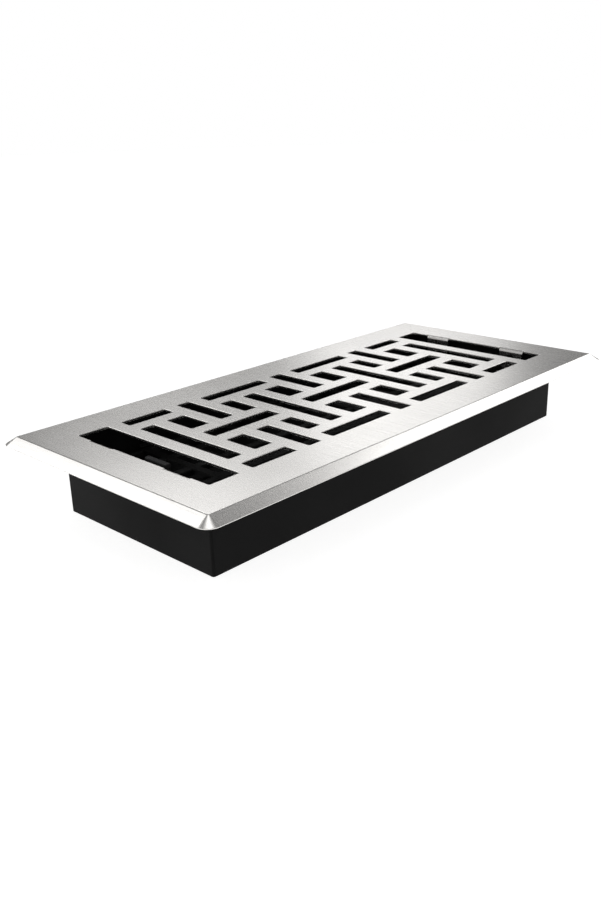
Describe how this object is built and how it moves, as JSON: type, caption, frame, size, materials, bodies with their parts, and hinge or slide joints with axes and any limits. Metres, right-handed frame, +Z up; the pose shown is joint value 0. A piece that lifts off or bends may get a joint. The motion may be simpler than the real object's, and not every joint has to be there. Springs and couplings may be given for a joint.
{
  "type": "floor vent grate",
  "caption": "Drop-in floor vent grate: a bevelled steel faceplate with a woven slot pattern over a black damper box whose cross blades open and shut with a thumb lever.",
  "frame": {"origin": "centre of the damper box's foot, on the surface that the grate stands on", "axes": "+Y along the long side, away from the thumb lever; +X across the grate; +Z up, out of the duct"},
  "size_m": [0.1378, 0.289, 0.0358],
  "materials": {
    "plated_steel": "satin nickel plating over stamped steel",
    "box_plastic": "moulded black, low sheen",
    "damper_plastic": "moulded black, low sheen",
    "lever_plastic": "moulded black, slightly polished by use"
  },
  "bodies": {
    "box": {"faceplate": "plated_steel", "damper_box": "box_plastic", "damper_grid": "damper_plastic"},
    "lever": {"link_bar": "damper_plastic", "thumb_lever": "lever_plastic"},
    "blade_01": {"louvre_01": "damper_plastic"},
    "blade_02": {"louvre_02": "damper_plastic"},
    "blade_03": {"louvre_03": "damper_plastic"},
    "blade_04": {"louvre_04": "damper_plastic"},
    "blade_05": {"louvre_05": "damper_plastic"},
    "blade_06": {"louvre_06": "damper_plastic"},
    "blade_07": {"louvre_07": "damper_plastic"},
    "blade_08": {"louvre_08": "damper_plastic"},
    "blade_09": {"louvre_09": "damper_plastic"},
    "blade_10": {"louvre_10": "damper_plastic"},
    "blade_11": {"louvre_11": "damper_plastic"},
    "blade_12": {"louvre_12": "damper_plastic"},
    "blade_13": {"louvre_13": "damper_plastic"},
    "blade_14": {"louvre_14": "damper_plastic"}
  },
  "joints": [
    {"name": "lever_slide", "type": "slide", "parent": "box", "child": "lever", "axis": [0, -1, 0], "range_m": [0, 0.00707]},
    {"name": "louvre_01_tilt", "type": "hinge", "parent": "box", "child": "blade_01", "pos_m": [0, -0.10135, 0.0083], "axis": [1, 0, 0], "range_deg": [0, 90]},
    {"name": "louvre_02_tilt", "type": "hinge", "parent": "box", "child": "blade_02", "pos_m": [0, -0.08576, 0.0083], "axis": [1, 0, 0], "range_deg": [0, 90]},
    {"name": "louvre_03_tilt", "type": "hinge", "parent": "box", "child": "blade_03", "pos_m": [0, -0.07017, 0.0083], "axis": [1, 0, 0], "range_deg": [0, 90]},
    {"name": "louvre_04_tilt", "type": "hinge", "parent": "box", "child": "blade_04", "pos_m": [0, -0.05457, 0.0083], "axis": [1, 0, 0], "range_deg": [0, 90]},
    {"name": "louvre_05_tilt", "type": "hinge", "parent": "box", "child": "blade_05", "pos_m": [0, -0.03898, 0.0083], "axis": [1, 0, 0], "range_deg": [0, 90]},
    {"name": "louvre_06_tilt", "type": "hinge", "parent": "box", "child": "blade_06", "pos_m": [0, -0.02339, 0.0083], "axis": [1, 0, 0], "range_deg": [0, 90]},
    {"name": "louvre_07_tilt", "type": "hinge", "parent": "box", "child": "blade_07", "pos_m": [0, -0.0078, 0.0083], "axis": [1, 0, 0], "range_deg": [0, 90]},
    {"name": "louvre_08_tilt", "type": "hinge", "parent": "box", "child": "blade_08", "pos_m": [0, 0.0078, 0.0083], "axis": [1, 0, 0], "range_deg": [0, 90]},
    {"name": "louvre_09_tilt", "type": "hinge", "parent": "box", "child": "blade_09", "pos_m": [0, 0.02339, 0.0083], "axis": [1, 0, 0], "range_deg": [0, 90]},
    {"name": "louvre_10_tilt", "type": "hinge", "parent": "box", "child": "blade_10", "pos_m": [0, 0.03898, 0.0083], "axis": [1, 0, 0], "range_deg": [0, 90]},
    {"name": "louvre_11_tilt", "type": "hinge", "parent": "box", "child": "blade_11", "pos_m": [0, 0.05457, 0.0083], "axis": [1, 0, 0], "range_deg": [0, 90]},
    {"name": "louvre_12_tilt", "type": "hinge", "parent": "box", "child": "blade_12", "pos_m": [0, 0.07017, 0.0083], "axis": [1, 0, 0], "range_deg": [0, 90]},
    {"name": "louvre_13_tilt", "type": "hinge", "parent": "box", "child": "blade_13", "pos_m": [0, 0.08576, 0.0083], "axis": [1, 0, 0], "range_deg": [0, 90]},
    {"name": "louvre_14_tilt", "type": "hinge", "parent": "box", "child": "blade_14", "pos_m": [0, 0.10135, 0.0083], "axis": [1, 0, 0], "range_deg": [0, 90]}
  ],
  "couplings": [
    {"joint": "louvre_01_tilt", "follows": "lever_slide", "rad_per_m": 222.14},
    {"joint": "louvre_02_tilt", "follows": "lever_slide", "rad_per_m": 222.14},
    {"joint": "louvre_03_tilt", "follows": "lever_slide", "rad_per_m": 222.14},
    {"joint": "louvre_04_tilt", "follows": "lever_slide", "rad_per_m": 222.14},
    {"joint": "louvre_05_tilt", "follows": "lever_slide", "rad_per_m": 222.14},
    {"joint": "louvre_06_tilt", "follows": "lever_slide", "rad_per_m": 222.14},
    {"joint": "louvre_07_tilt", "follows": "lever_slide", "rad_per_m": 222.14},
    {"joint": "louvre_08_tilt", "follows": "lever_slide", "rad_per_m": 222.14},
    {"joint": "louvre_09_tilt", "follows": "lever_slide", "rad_per_m": 222.14},
    {"joint": "louvre_10_tilt", "follows": "lever_slide", "rad_per_m": 222.14},
    {"joint": "louvre_11_tilt", "follows": "lever_slide", "rad_per_m": 222.14},
    {"joint": "louvre_12_tilt", "follows": "lever_slide", "rad_per_m": 222.14},
    {"joint": "louvre_13_tilt", "follows": "lever_slide", "rad_per_m": 222.14},
    {"joint": "louvre_14_tilt", "follows": "lever_slide", "rad_per_m": 222.14}
  ]
}
